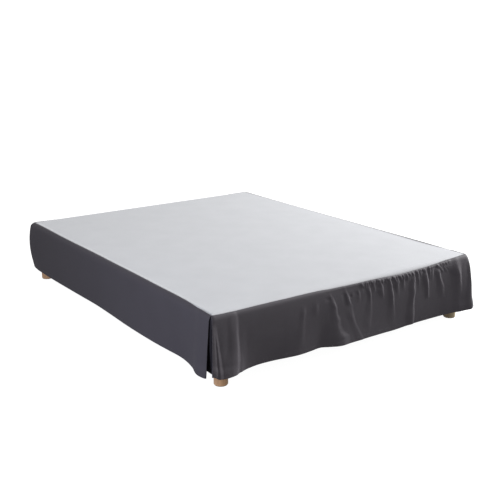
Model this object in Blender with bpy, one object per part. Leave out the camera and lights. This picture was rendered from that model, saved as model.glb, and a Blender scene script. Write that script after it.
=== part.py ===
"""Bed skirt fitted over a bed base, in metres with +Z up.

The origin is on the floor under the middle of the bed. The foot end faces -Y, the head end +Y, and the left
side -X. Every cloth is modelled on its inner face, as a grid of stations along the edge of the bed by rows
down the cloth, and a Solidify modifier then adds the cloth's thickness outwards.

A point of cloth is found from four values:
  station  the distance along the edge of the bed, from a corner,
  arc      the length of cloth from where it leaves the flat top, first round the edge and then straight down,
  layer    how far this layer lies out from the innermost one, where the cloth is folded,
  swing    how far the hanging cloth stands out from a plain vertical drop.
"""

from math import cos, exp, pi, radians, sin

import bmesh
import bpy
from mathutils import Matrix, Vector

# ---- Driving dimensions ------------------------------------------------------------------------------

BASE_WIDTH = 1.60
BASE_LENGTH = 2.00
BASE_TOP = 0.350          # height of the base's top above the floor
BASE_DEPTH = 0.150
BASE_EDGE_RADIUS = 0.028  # padded top edge
BASE_CORNER_RADIUS = 0.040
BASE_FOOT_RADIUS = 0.006  # bottom edge
LEG_RADIUS = 0.032
LEG_EDGE_RADIUS = 0.003
LEG_PLACES = {            # axis of each leg, set by hand, so the foot end's two aren't quite a pair
    "leg_foot_left": (-0.7185, -0.943),
    "leg_foot_right": (0.7465, -0.954),
    "leg_head_left": (-0.735, 0.955),
    "leg_head_right": (0.735, 0.955),
    "leg_middle": (0.0, 0.0),
}

CLOTH = 0.0012            # thickness of every cloth
REST_GAP = 0.0003         # between pieces that touch
SIDE_GAP = 0.002          # between the base's side and the cloth that hangs beside it
BEND_RADIUS = 0.024       # inner face of the cloth, round the base's edge
DROP_LENGTH = 0.280       # a drop's cloth, from its seam to its hem
UNDERLAY_LENGTH = 0.268   # a pleat back's
CORNER_LIFT = 0.014       # how far the foot drop's hem is drawn up where it folds back at the left corner
LIFT_REACH = 0.028        # and over what length
SEAM_GAP = 0.0004         # between the platform panel's edge and a drop's

PLEAT_DEPTH = 0.085       # how far a drop is folded back behind itself at a foot corner
FOLD_GAP = 0.0006         # between the two layers of that fold
UNDERLAY_REACH = 0.075    # how far a pleat back reaches each way from its corner
STACK_RUN_OUT = 0.050     # over this length the outer layer settles back onto the base's side
HEAD_RETURN = 0.120       # how far a side drop reaches round the head corner
HEAD_TURN_RADIUS = 0.012  # plan radius of the line on which the cloth leaves the top at a head corner
MITRE_REACH = 0.100       # over this length a drop's stations run over from square to the corner's mitre

# ---- Derived places ----------------------------------------------------------------------------------

SIDE_X = BASE_WIDTH / 2 + SIDE_GAP         # inner face of cloth hanging straight down a side
END_Y = BASE_LENGTH / 2 + SIDE_GAP
LEAVE_X = SIDE_X - BEND_RADIUS             # where that cloth leaves the flat top
LEAVE_Y = END_Y - BEND_RADIUS
QUARTER_ARC = BEND_RADIUS * pi / 2
CLOTH_TOP = BASE_TOP + REST_GAP            # inner face of cloth lying on the top
BASE_BOTTOM = BASE_TOP - BASE_DEPTH
LOWEST_HEM = CLOTH_TOP - BEND_RADIUS - DROP_LENGTH   # a drop sewn on a quarter turn round the edge
UNDERLAY_LAYER = 0.0
RETURN_LAYER = 2 * CLOTH + REST_GAP        # the face of the folded-back cloth that looks into its fold
FRONT_LAYER = RETURN_LAYER + FOLD_GAP
TURN_START = END_Y + LEAVE_Y - HEAD_TURN_RADIUS   # station where a side drop starts to turn its head corner
HEAD_TURN = HEAD_TURN_RADIUS * pi / 2      # length of that turn, where the cloth leaves the top

# ---- How the cloth hangs -----------------------------------------------------------------------------
# station: metres along the edge. seam: degrees round the base's edge at which the drop is sewn on, negative
# where the seam lies on the flat top. belly: swing at mid height. hem: swing at the hem. All lengths in mm.

FOOT_HANG = (   # stations from the left foot corner
    # station, seam, belly, hem
    (0.00,      36,     2,  15),
    (0.02,      37,     2,  17),
    (0.05,      41,     2,  21),
    (0.09,      42,     1,  20),
    (0.14,      41,     2,   9),
    (0.19,      40,     3,  -2),
    (0.25,      39,     3,  -6),
    (0.33,      40,     3,  -4),
    (0.40,      42,     3,   2),
    (0.47,      42,     2,   7),
    (0.54,      43,     2,   4),
    (0.60,      46,     3,   0),
    (0.65,      54,     3,   6),
    (0.71,      57,     1,  15),
    (0.79,      62,     1,  15),
    (0.90,      64,     1,  13),
    (1.00,      70,     2,  11),
    (1.07,      77,     4,   9),
    (1.14,      79,     5,   7),
    (1.21,      74,     5,   7),
    (1.30,      68,     4,  10),
    (1.38,      57,     3,  16),
    (1.45,      46,     3,  29),
    (1.52,      42,     4,  45),
    (1.57,      32,     5,  55),
    (1.604,     27,     6,  56),
)
FOOT_DIP = (    # stations from the left foot corner, and how much longer the foot drop's cloth is there, in mm
    (0.00, -7.0), (0.02, -3.0), (0.05,  0.0), (0.10,  0.0), (0.14,  0.4), (0.19, -1.1), (0.25, -3.0),
    (0.33, -1.9), (0.40,  0.0), (0.47,  1.9), (0.54,  0.7), (0.60, -1.5), (0.65,  1.1), (0.71,  5.5),
    (0.79,  5.9), (0.90,  4.8), (1.00,  3.3), (1.07,  1.5), (1.14, -1.1), (1.21, -1.5), (1.30, -0.7),
    (1.38,  1.5), (1.45,  1.9), (1.52,  0.7), (1.57,  0.0),
)
LEFT_HANG = (   # stations from the left foot corner, up the side and round the head corner
    (0.00,      36,     0,   4),
    (0.03,      35,     0,  15),
    (0.07,      32,     0,  20),
    (0.11,      28,     0,  17),
    (0.15,      21,     1,   9),
    (0.20,      13,     2,   2),
    (0.26,       7,     2,   0),
    (0.34,       4,     2,   6),
    (0.46,       5,     1,  12),
    (0.60,       2,     1,  16),
    (0.76,       1,     2,  15),
    (0.90,       3,     3,   9),
    (1.10,       1,     4,   5),
    (1.30,       4,     4,   8),
    (1.50,       9,     3,  10),
    (1.66,       6,     3,  14),
    (1.80,       1,     5,  16),
    (1.88,       1,     8,  15),
    (1.94,       2,    13,   9),
    (2.00,      12,    20,  -3),
    (2.06,      20,    21,  -3),
    (2.14,      20,    15,   2),
)
RIGHT_HANG = (  # stations from the right foot corner, up the side and round the head corner
    (0.00,      27,     2,  17),
    (0.03,      33,     2,  14),
    (0.08,      30,     2,   9),
    (0.13,      18,     2,   8),
    (0.18,       0,     2,   7),
    (0.26,     -10,     2,  10),
    (0.38,      -9,     3,  14),
    (0.50,      -2,     3,  12),
    (0.64,       5,     2,   8),
    (0.84,      11,     3,   9),
    (1.05,      17,     4,  14),
    (1.28,      21,     3,  17),
    (1.52,      22,     3,  12),
    (1.74,      18,     4,  13),
    (1.88,      14,     8,  17),
    (1.94,      14,    12,  16),
    (2.00,      18,    18,  11),
    (2.06,      20,    20,   8),
    (2.14,      20,    15,   7),
)

# A soft fold of the foot drop: its stations at the seam and the hem, the heights between which it shows as
# shares of the drop, then its half width and how far it stands out, in mm.
FOOT_FOLDS = (
    # top,  hem,   from,  to,   width, out
    (0.012, 0.016, 0.10, 1.00,   7,   4.0),
    (0.014, 0.037, 0.15, 1.00,   8,   6.0),
    (0.113, 0.133, 0.00, 1.00,  10,   7.5),
    (0.492, 0.494, 0.15, 0.95,  16,   3.5),
    (0.566, 0.562, 0.05, 0.45,  11,   2.0),
    (0.622, 0.778, 0.00, 1.00,  15,   8.0),
    (0.728, 0.866, 0.00, 1.00,  11,   6.5),
    (0.856, 0.915, 0.00, 0.90,  10,   5.5),
    (0.942, 1.010, 0.00, 0.55,   9,   4.5),
    (1.015, 1.075, 0.00, 0.85,  10,   6.0),
    (1.186, 1.206, 0.00, 1.00,  10,   6.5),
    (1.272, 1.330, 0.00, 0.75,  10,   5.5),
    (1.362, 1.438, 0.00, 0.75,  11,   5.5),
    (1.516, 1.566, 0.00, 0.80,  12,   7.0),
)

# How far a drop's corner fold stands clear of the corner, in metres, at the seam and at the hem.
SIDE_FOLD = (0.0100, 0.022)
FOOT_FOLDS_AT = {"left": (-0.0008, -0.0115), "right": (-0.0020, 0.001)}
FOLD_SHIFT_REACH = 0.060  # over this length the stations settle from the moved fold to their own places
FOLD_EASE = 0.16          # share of the drop over which a soft fold grows or dies away
PLEATED = 0.150           # length of a drop, from its corner fold, that has closer stations
UNDERLAY_TUCK = 0.014     # how far a pleat back's hem hangs in under the base

# Shares of a drop's length at which its rows lie, close together where it goes round the base's edge.
FOOT_ROWS = (0.0, 0.03, 0.06, 0.10, 0.15, 0.24, 0.36, 0.48, 0.60, 0.73, 0.87, 1.0)
SIDE_ROWS = (0.0, 0.035, 0.07, 0.11, 0.16, 0.34, 0.55, 0.78, 1.0)
PANEL_RINGS = (0.0, 0.4, 0.72, 1.0)  # the same for the platform panel, from its flat middle to its seam
PANEL_FLAT_EDGE = 0.010   # the panel's flat middle ends this far inside the line where it leaves the top


# ---- Reading the tables ------------------------------------------------------------------------------

def smooth(share):
    """Eases a share of 0 to 1 so that it starts and ends level."""
    share = min(max(share, 0.0), 1.0)
    return share * share * (3 - 2 * share)


def eased_row(table, station):
    """The table's values at a station, eased from one row to the next."""
    rows = list(table)
    low, high = rows[0], rows[-1]
    for first, second in zip(rows, rows[1:]):
        if first[0] <= station <= second[0]:
            low, high = first, second
    if station >= rows[-1][0]:
        low = high
    share = 0.0 if high[0] == low[0] else smooth((station - low[0]) / (high[0] - low[0]))
    return [first + (second - first) * share for first, second in zip(low[1:], high[1:])]


def hang_at(table, station):
    """(seam arc, belly, hem) of a drop at a station, in metres."""
    seam, belly, hem = eased_row(table, station)
    return radians(seam) * BEND_RADIUS, belly / 1000, hem / 1000


def fold_swing(station, share):
    """How far the foot drop's soft folds stand out at a station and a share of the drop's length."""
    total = 0.0
    for top, hem, start, end, width, out in FOOT_FOLDS:
        middle = top + (hem - top) * share
        grown = smooth((share - start) / FOLD_EASE)
        if end < 1:
            grown *= 1 - smooth((share - end + FOLD_EASE) / FOLD_EASE)
        total += out / 1000 * grown * exp(-((station - middle) * 1000 / width) ** 2)
    return total


def height_at(arc):
    """Height of cloth that hangs straight, an arc-length past where it leaves the top."""
    if arc <= QUARTER_ARC:
        return CLOTH_TOP - BEND_RADIUS * (1 - cos(max(arc, 0.0) / BEND_RADIUS))
    return CLOTH_TOP - BEND_RADIUS - (arc - QUARTER_ARC)


def swing_at(belly, hem, share, arc):
    """Swing of a drop at a share of its length. Only below the base can its hem hang inwards."""
    below = max(BASE_BOTTOM - height_at(arc), 0.0) / (BASE_BOTTOM - LOWEST_HEM)
    return belly * sin(pi * share) + hem * (share ** 1.5 if hem > 0 else below)


def reach_and_height(arc, layer, swing):
    """Distance out from the line where the cloth leaves the top, and height, of a point of a drop."""
    turn = min(max(arc / BEND_RADIUS, 0.0), pi / 2)
    out = layer + swing
    reach = min(arc, 0.0) + (BEND_RADIUS + out) * sin(turn)
    return reach, height_at(arc) + out * cos(turn)


# ---- Where a station lies ----------------------------------------------------------------------------

def mitred(station, reach):
    """Moves a station near a foot corner onto the corner's mitre, while the cloth is still on the edge."""
    short = BEND_RADIUS - min(reach, BEND_RADIUS)
    return station + short * max(0.0, 1 - station / MITRE_REACH)


def foot_point(station, reach, height):
    """A point of the foot drop, whose stations run from the left foot corner to the right one."""
    half = SIDE_X
    if station <= half:
        x = mitred(station, reach) - half
    else:
        x = half - mitred(2 * half - station, reach)
    return Vector((x, -(LEAVE_Y + reach), height))


def side_point(station, reach, height, side):
    """A point of a side drop, from its foot corner along the side and round its head corner.

    side is -1 on the left and 1 on the right."""
    turned = min(max((station - TURN_START) / HEAD_TURN, 0.0), 1.0) * pi / 2
    if turned == 0.0:
        y = mitred(station, reach) - END_Y if station < MITRE_REACH else station - END_Y
        return Vector((side * (LEAVE_X + reach), y, height))
    past = max(station - TURN_START - HEAD_TURN, 0.0)
    spread = HEAD_TURN_RADIUS + reach
    x = LEAVE_X - HEAD_TURN_RADIUS + spread * cos(turned) - past
    y = LEAVE_Y - HEAD_TURN_RADIUS + spread * sin(turned)
    return Vector((side * x, y, height))


def head_station(side_x):
    """The station of a side drop's run that lies on the head end, this far from the bed's middle line."""
    return TURN_START + HEAD_TURN + LEAVE_X - HEAD_TURN_RADIUS - side_x


# ---- Stations ----------------------------------------------------------------------------------------

def spread(start, end, count):
    """count + 1 evenly spaced stations from start to end."""
    return [start + (end - start) * index / count for index in range(count + 1)]


FRONT_STATIONS = spread(0, PLEATED, 18)
FOOT_STATIONS = (
    FRONT_STATIONS[:-1]
    + spread(PLEATED, 2 * SIDE_X - PLEATED, 78)
    + [2 * SIDE_X - station for station in FRONT_STATIONS[-2::-1]]
)
SIDE_FRONT_STATIONS = spread(0, PLEATED, 8)
SIDE_STRAIGHT_STATIONS = spread(PLEATED, TURN_START, 27)
SIDE_TURN_STATIONS = spread(TURN_START, TURN_START + HEAD_TURN, 6)
SIDE_RETURN_STATIONS = spread(SIDE_TURN_STATIONS[-1], SIDE_TURN_STATIONS[-1] + HEAD_RETURN, 5)
SIDE_STATIONS = (
    SIDE_FRONT_STATIONS[:-1] + SIDE_STRAIGHT_STATIONS[:-1] + SIDE_TURN_STATIONS[:-1] + SIDE_RETURN_STATIONS
)
HEAD_STATIONS = spread(SIDE_STATIONS[-1], head_station(0.0), 5)[1:]


def folded_end():
    """(station, layer, back) of the columns that fold a drop back at a foot corner, from the free edge of the
    folded-back cloth, round the fold, to just before the front's first station. back is the share of the
    pleat's depth that a column of the folded-back cloth lies behind the fold."""
    columns = [(PLEAT_DEPTH * share, RETURN_LAYER, share) for share in (1.0, 0.75, 0.5, 0.25, 0.08)]
    for turn in (0, pi / 4, pi / 2, 3 * pi / 4):
        columns.append((-FOLD_GAP / 2 * sin(turn), FRONT_LAYER - FOLD_GAP / 2 * (1 + cos(turn)), 0.0))
    return columns


def front_layer(station):
    """The front's layer at this distance from its fold: out over the folded-back cloth, then on the base."""
    return FRONT_LAYER * (1 - smooth((station - PLEAT_DEPTH) / STACK_RUN_OUT))


def shifted(station, fold, share):
    """A station near a fold, moved with the fold's place at a share of the drop's length."""
    shift = fold[0] + (fold[1] - fold[0]) * share
    return station + shift * max(0.0, 1 - max(station, 0.0) / FOLD_SHIFT_REACH)


# ---- Points of each cloth ----------------------------------------------------------------------------

def drop_point(place, table, station, share, layer, back, ripple=0.0, lift=0.0):
    """A point of a drop. back blends its swing towards the pleat back's, for folded-back cloth. lift is how
    far its hem is drawn up, negative where the cloth is longer."""
    seam, belly, hem = hang_at(table, max(station, 0.0))
    arc = seam + SEAM_GAP + (DROP_LENGTH - lift) * share
    swing = swing_at(belly, hem, share, arc) + ripple
    tucked = underlay_swing(share, arc)
    swing += (tucked - swing) * smooth(back)
    return place(station, *reach_and_height(arc, layer, swing))


def underlay_swing(share, arc):
    return swing_at(0.0, -UNDERLAY_TUCK, share, arc)


def foot_drop_point(column, share):
    """A point of the foot drop. Its right half's columns are counted from the right corner."""
    station, layer, back, from_right = column
    lift = 0.0 if from_right else CORNER_LIFT * (1 - smooth(station / LIFT_REACH))
    station = shifted(station, FOOT_FOLDS_AT["right" if from_right else "left"], share)
    if from_right:
        station = 2 * SIDE_X - station
    inner = min(max(station, 0.0), 2 * SIDE_X)
    lift -= eased_row(FOOT_DIP, inner)[0] / 1000
    ripple = fold_swing(inner, share) * (1 - smooth(back))
    return drop_point(foot_point, FOOT_HANG, station, share, layer, back, ripple, lift)


def side_drop_point(column, share, side):
    station, layer, back = column
    table = LEFT_HANG if side < 0 else RIGHT_HANG
    station = shifted(station, SIDE_FOLD, share)
    return drop_point(lambda *where: side_point(*where, side), table, station, share, layer, back)


def underlay_point(station, share, side):
    """A point of a pleat back, whose stations are negative along the side and positive along the foot."""
    if station < 0:
        table = LEFT_HANG if side < 0 else RIGHT_HANG
        seam = hang_at(table, -station)[0]
    else:
        seam = hang_at(FOOT_HANG, station if side < 0 else 2 * SIDE_X - station)[0]
    arc = seam + SEAM_GAP + UNDERLAY_LENGTH * share
    reach, height = reach_and_height(arc, UNDERLAY_LAYER, underlay_swing(share, arc))
    if station < 0:
        return side_point(-station, reach, height, side)
    return foot_point(station if side < 0 else 2 * SIDE_X - station, reach, height)


def panel_outline():
    """(place, table, station) all round the platform panel, from the left foot corner and back to it."""
    def left(station, reach, height):
        return side_point(station, reach, height, -1)

    def right(station, reach, height):
        return side_point(station, reach, height, 1)

    foot = [(foot_point, FOOT_HANG, station) for station in FOOT_STATIONS]
    side = SIDE_STATIONS + HEAD_STATIONS
    up = [(right, RIGHT_HANG, station) for station in side[1:]]
    down = [(left, LEFT_HANG, station) for station in side[-2:0:-1]]
    return foot + up + down


# ---- Building ----------------------------------------------------------------------------------------

def material(name, colour, roughness):
    made = bpy.data.materials.new(name)
    made.use_nodes = True
    shader = made.node_tree.nodes["Principled BSDF"]
    shader.inputs["Base Color"].default_value = (*colour, 1.0)
    shader.inputs["Roughness"].default_value = roughness
    shader.inputs["Metallic"].default_value = 0.0
    return made


def new_object(name, bm, surface):
    """A mesh object at the origin, from a bmesh in the bed's own frame."""
    mesh = bpy.data.meshes.new(name)
    bm.to_mesh(mesh)
    bm.free()
    mesh.materials.append(surface)
    made = bpy.data.objects.new(name, mesh)
    bpy.context.scene.collection.objects.link(made)
    return made


def thicken(cloth):
    """Gives a cloth its thickness on its outer side."""
    solidify = cloth.modifiers.new("thickness", "SOLIDIFY")
    solidify.thickness = CLOTH
    solidify.offset = 1.0
    solidify.use_even_offset = True


def cloth_sheet(name, columns, rows, point, surface):
    """A cloth from a grid of columns by rows, each point placed by point(column, row's share)."""
    bm = bmesh.new()
    bmesh.ops.create_grid(bm, x_segments=len(columns) - 1, y_segments=len(rows) - 1, size=1.0)
    for vert in bm.verts:
        column = round((vert.co.x + 1) / 2 * (len(columns) - 1))
        row = round((1 - vert.co.y) / 2 * (len(rows) - 1))
        vert.co = point(columns[column], rows[row])
    cloth = new_object(name, bm, surface)
    thicken(cloth)
    return cloth


def platform_panel(surface):
    """The pale panel: a flat middle, then rings that go round the base's edge to the seam."""
    outline = panel_outline()
    bm = bmesh.new()
    ring = bmesh.ops.create_circle(bm, cap_ends=True, segments=len(outline), radius=1.0)["verts"]
    edges = list(bm.edges)
    for share in PANEL_RINGS:
        if share > 0:
            grown = bmesh.ops.extrude_edge_only(bm, edges=edges)["geom"]
            edges = [item for item in grown if isinstance(item, bmesh.types.BMEdge)]
            fresh = {item for item in grown if isinstance(item, bmesh.types.BMVert)}
            ring = [next(e.other_vert(v) for e in v.link_edges if e.other_vert(v) in fresh) for v in ring]
            edges = [edge for edge in edges if set(edge.verts) <= fresh]
        for vert, (place, table, station) in zip(ring, outline):
            end = hang_at(table, station)[0] - SEAM_GAP
            arc = -PANEL_FLAT_EDGE + (end + PANEL_FLAT_EDGE) * share
            vert.co = place(station, *reach_and_height(arc, 0.0, 0.0))
    bmesh.ops.recalc_face_normals(bm, faces=bm.faces)
    middle = max(bm.faces, key=lambda face: face.calc_area())
    if middle.normal.z < 0:
        bmesh.ops.reverse_faces(bm, faces=bm.faces)
    panel = new_object("platform_panel", bm, surface)
    thicken(panel)


def foot_drop(surface):
    ends = folded_end()
    half = len(FOOT_STATIONS) // 2
    left = [(*column, False) for column in ends]
    left += [(s, front_layer(s), 0.0, False) for s in FOOT_STATIONS[:half + 1]]
    right = [(*column, True) for column in ends]
    right += [(s, front_layer(s), 0.0, True) for s in FOOT_STATIONS[:half]]
    cloth_sheet("drop_foot", left + right[::-1], FOOT_ROWS, foot_drop_point, surface)


def side_drop(name, side, surface):
    columns = folded_end() + [(s, front_layer(s), 0.0) for s in SIDE_STATIONS]
    if side < 0:
        columns = columns[::-1]
    cloth_sheet(name, columns, SIDE_ROWS, lambda column, row: side_drop_point(column, row, side), surface)


def pleat_back(name, side, surface):
    columns = spread(-UNDERLAY_REACH, UNDERLAY_REACH, 16)
    if side > 0:
        columns = columns[::-1]
    cloth_sheet(name, columns, SIDE_ROWS, lambda column, row: underlay_point(column, row, side), surface)


def bed_base(surface):
    """A plain padded base: a block with round corners in plan, a round top edge and a small bottom edge."""
    bm = bmesh.new()
    size = Matrix.Diagonal((BASE_WIDTH, BASE_LENGTH, BASE_DEPTH, 1.0))
    bmesh.ops.create_cube(bm, size=1.0, matrix=Matrix.Translation((0, 0, BASE_TOP - BASE_DEPTH / 2)) @ size)

    def round_off(edges, radius, segments):
        bmesh.ops.bevel(bm, geom=edges, offset=radius, segments=segments, profile=0.5, affect="EDGES")

    upright = [edge for edge in bm.edges if abs(edge.verts[0].co.z - edge.verts[1].co.z) > BASE_DEPTH / 2]
    round_off(upright, BASE_CORNER_RADIUS, 6)
    for height, radius, segments in ((BASE_TOP, BASE_EDGE_RADIUS, 4), (BASE_BOTTOM, BASE_FOOT_RADIUS, 2)):
        rim = [edge for edge in bm.edges if all(abs(vert.co.z - height) < 1e-5 for vert in edge.verts)]
        round_off(rim, radius, segments)
    new_object("bed_base", bm, surface)


def leg(name, x, y, surface):
    """A short turned leg, its bottom edge eased, standing on the floor under the base."""
    height = BASE_BOTTOM - REST_GAP
    bm = bmesh.new()
    bmesh.ops.create_cone(
        bm, cap_ends=True, segments=32, radius1=LEG_RADIUS, radius2=LEG_RADIUS, depth=height,
        matrix=Matrix.Translation((0, 0, height / 2)),
    )
    rim = [edge for edge in bm.edges if all(vert.co.z < 1e-5 for vert in edge.verts)]
    bmesh.ops.bevel(bm, geom=rim, offset=LEG_EDGE_RADIUS, segments=3, profile=0.5, affect="EDGES")
    made = new_object(name, bm, surface)
    made.location = (x, y, 0)


def main():
    for item in list(bpy.data.objects):
        bpy.data.objects.remove(item, do_unlink=True)
    dark = material("anthracite_cloth", (0.055, 0.053, 0.062), 0.85)
    pale = material("pale_grey_cloth", (0.62, 0.62, 0.65), 0.85)
    padding = material("base_cover", (0.55, 0.55, 0.55), 0.90)
    wood = material("natural_wood", (0.42, 0.28, 0.18), 0.50)

    bed_base(padding)
    for name, (x, y) in LEG_PLACES.items():
        leg(name, x, y, wood)
    platform_panel(pale)
    foot_drop(dark)
    for name, side in (("left", -1), ("right", 1)):
        side_drop(f"drop_{name}", side, dark)
        pleat_back(f"pleat_back_{name}", side, dark)


main()
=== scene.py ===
# %% [markdown]
# # A bed skirt over a bed base
#
# A bed skirt is a flat cloth that lies on the bed base, with hanging cloths, the drops, sewn along three of its
# edges. Here the flat cloth is pale grey, and the drops are anthracite. The corners at the foot end have
# inverted pleats, and the head end is open.
#
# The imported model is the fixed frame: it gives every piece its place and its size. The cloths are built again
# here on the folds of the frame's own cloths, with finer folds, turned hems and woven surfaces.

# %% The frame
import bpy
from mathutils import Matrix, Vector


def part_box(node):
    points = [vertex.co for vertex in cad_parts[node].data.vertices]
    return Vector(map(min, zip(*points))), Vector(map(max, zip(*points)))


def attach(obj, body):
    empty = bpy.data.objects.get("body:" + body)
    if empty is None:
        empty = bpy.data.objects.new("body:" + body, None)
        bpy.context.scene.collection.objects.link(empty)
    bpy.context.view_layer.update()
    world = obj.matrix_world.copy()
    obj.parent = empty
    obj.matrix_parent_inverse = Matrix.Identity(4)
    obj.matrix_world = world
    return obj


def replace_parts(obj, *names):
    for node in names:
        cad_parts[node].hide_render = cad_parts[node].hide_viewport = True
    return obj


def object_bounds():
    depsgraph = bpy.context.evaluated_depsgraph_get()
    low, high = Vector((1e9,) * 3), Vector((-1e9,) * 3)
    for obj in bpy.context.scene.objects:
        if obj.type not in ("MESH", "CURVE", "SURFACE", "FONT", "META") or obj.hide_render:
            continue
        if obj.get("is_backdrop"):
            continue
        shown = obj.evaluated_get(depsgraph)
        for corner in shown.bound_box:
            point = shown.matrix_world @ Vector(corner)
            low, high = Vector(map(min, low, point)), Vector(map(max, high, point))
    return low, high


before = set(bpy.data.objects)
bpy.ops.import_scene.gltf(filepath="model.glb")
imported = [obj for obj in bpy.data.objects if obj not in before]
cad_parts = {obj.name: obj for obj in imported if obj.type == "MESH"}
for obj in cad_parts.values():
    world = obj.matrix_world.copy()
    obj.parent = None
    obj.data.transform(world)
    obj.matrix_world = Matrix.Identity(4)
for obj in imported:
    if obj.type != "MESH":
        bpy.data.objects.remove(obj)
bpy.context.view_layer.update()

# %% [markdown]
# ## The camera
#
# The bed is seen from its foot end, a little to the left and from about a person's eye height, with a longish
# lens that keeps its sides nearly parallel. The camera comes first, because every later choice of detail
# depends on how large a millimetre is in the picture.

# %% The camera
import random
from math import cos, exp, pi, radians, sin

import bmesh
import bpy
from mathutils import Matrix, Vector, noise

EYE = (-2.5362, -3.6846, 1.5334)
LOOK_DOWN, LOOK_RIGHT = 15.717, 35.760  # degrees
LENS, SENSOR, PICTURE = 58.95, 36, 500  # mm, mm and pixels across


def new_object(name, data):
    """An object at the origin of the scene."""
    made = bpy.data.objects.new(name, data)
    bpy.context.scene.collection.objects.link(made)
    return made


camera = new_object("camera", bpy.data.cameras.new("camera"))
camera.data.sensor_width = SENSOR
camera.data.lens = LENS
camera.location = EYE
camera.rotation_euler = (radians(90 - LOOK_DOWN), 0, radians(-LOOK_RIGHT))
bpy.context.scene.camera = camera

distance = Vector(EYE).length
pixel = distance * SENSOR / LENS / PICTURE * 1000
print(f"At the bed's middle, {distance:.2f} m away, a pixel is {pixel:.1f} mm")

# %% [markdown]
# ## Where the cloth goes
#
# A hanging cloth could be shaped by a cloth simulation, but then its folds would fall where the solver puts
# them. Here every fold has its own place, and each point of cloth follows from four values: the *station*, or
# distance along the bed's edge from a corner; the *length* of cloth below the seam; the *layer*, which is how
# far out it lies where it is folded; and the *swing*, which is how far it stands out from a plain vertical
# drop. The cloth first goes round the base's padded edge and then straight down.

# %% Sizes of the base and the cloth, in metres
base_low, base_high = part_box("bed_base")
CLOTH = 0.0012  # thickness
BEND = 0.024  # radius of the cloth's inner face round the base's edge
SIDE_X = base_high.x + 0.002  # inner face of cloth that hangs straight down
END_Y = base_high.y + 0.002
LEAVE_X, LEAVE_Y = SIDE_X - BEND, END_Y - BEND  # where it leaves the flat top
QUARTER = BEND * pi / 2
CLOTH_TOP = base_high.z + 0.0003
DROP = 0.280  # from the seam to the hem
HEM = 0.022  # turned up inside
SEAM_GAP = 0.0004
LOWEST_HEM = CLOTH_TOP - BEND - DROP
HEAD_TURN_RADIUS = 0.012
TURN_START = END_Y + LEAVE_Y - HEAD_TURN_RADIUS  # station where a side drop starts to turn its head corner
HEAD_TURN = HEAD_TURN_RADIUS * pi / 2
HEAD_RETURN = 0.120  # how far it reaches round that corner
CORNER_ROUND = (0.014, 0.020)  # radius with which the cloth goes round the left and right corners at the top
ROUND_DEPTH = 0.080  # this far below the top it hangs square again
MITRE_REACH = 0.100  # over this length stations run over from square to a foot corner's mitre
print(f"The cloth leaves the flat top {LEAVE_X:.3f} m out and hangs {SIDE_X:.3f} m out")


# %% Round the edge and down
def smooth(share):
    """Eases a share of 0 to 1 so that it starts and ends level."""
    share = min(max(share, 0.0), 1.0)
    return share * share * (3 - 2 * share)


def height_at(arc):
    """Height of the cloth's inner face, this length of cloth past where it leaves the flat top."""
    if arc <= QUARTER:
        return CLOTH_TOP - BEND * (1 - cos(max(arc, 0.0) / BEND))
    return CLOTH_TOP - BEND - (arc - QUARTER)


def reach_and_height(arc, layer, swing):
    """How far the cloth has got past the line where it leaves the flat top, and its height."""
    turn = min(max(arc / BEND, 0.0), pi / 2)
    out = layer + swing
    return min(arc, 0.0) + (BEND + out) * sin(turn), height_at(arc) + out * cos(turn)


def mitred(station, reach):
    """Near a foot corner, the station that this one has while the cloth is still on the base's edge."""
    return station + (BEND - min(reach, BEND)) * max(0.0, 1 - station / MITRE_REACH)


def eased_round(point):
    """Near the top, cloth at a corner follows the base's rounded corner. Lower down it hangs square."""
    share = smooth((point.z - CLOTH_TOP + ROUND_DEPTH) / ROUND_DEPTH)
    radius = CORNER_ROUND[point.x > 0]
    past = Vector((abs(point.x) - SIDE_X + radius, abs(point.y) - END_Y + radius))
    if share > 0 and min(past) > 0:
        pull = (1 - max(past) / past.length) * share
        point.x -= past.x * pull * (1 if point.x > 0 else -1)
        point.y -= past.y * pull * (1 if point.y > 0 else -1)
    return point


def foot_place(station, reach, height):
    """A point at the foot end. Its stations run from the left foot corner to the right one."""
    if station <= SIDE_X:
        x = mitred(station, reach) - SIDE_X
    else:
        x = SIDE_X - mitred(2 * SIDE_X - station, reach)
    return eased_round(Vector((x, -(LEAVE_Y + reach), height)))


def side_place(side):
    """The same for a side, -1 left and 1 right: its stations run from the foot corner up and round the head."""
    def place(station, reach, height):
        turned = min(max((station - TURN_START) / HEAD_TURN, 0.0), 1.0) * pi / 2
        if turned == 0.0:
            y = (mitred(station, reach) if station < MITRE_REACH else station) - END_Y
            return eased_round(Vector((side * (LEAVE_X + reach), y, height)))
        past = max(station - TURN_START - HEAD_TURN, 0.0)
        across = HEAD_TURN_RADIUS + reach
        x = LEAVE_X - HEAD_TURN_RADIUS + across * cos(turned) - past
        return Vector((side * x, LEAVE_Y - HEAD_TURN_RADIUS + across * sin(turned), height))
    return place


left_place, right_place = side_place(-1), side_place(1)

# %% [markdown]
# ## How each drop hangs
#
# A drop isn't straight: its seam wanders a little over the padded edge, its middle bellies, its hem swings in
# and out, and its length varies by a few millimetres, which makes the hem line wave. The three tables give
# those values at stations along each edge, as the frame's own cloths have them. Between two rows the values
# follow one smooth curve.

# %% Tables of the drops: station in m, seam in degrees round the edge, belly, hem swing and extra length in mm
def rows_of(text):
    """Rows of numbers from text: commas part the rows, and spaces the numbers."""
    return tuple(tuple(float(number) for number in row.split()) for row in text.split(","))


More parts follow.
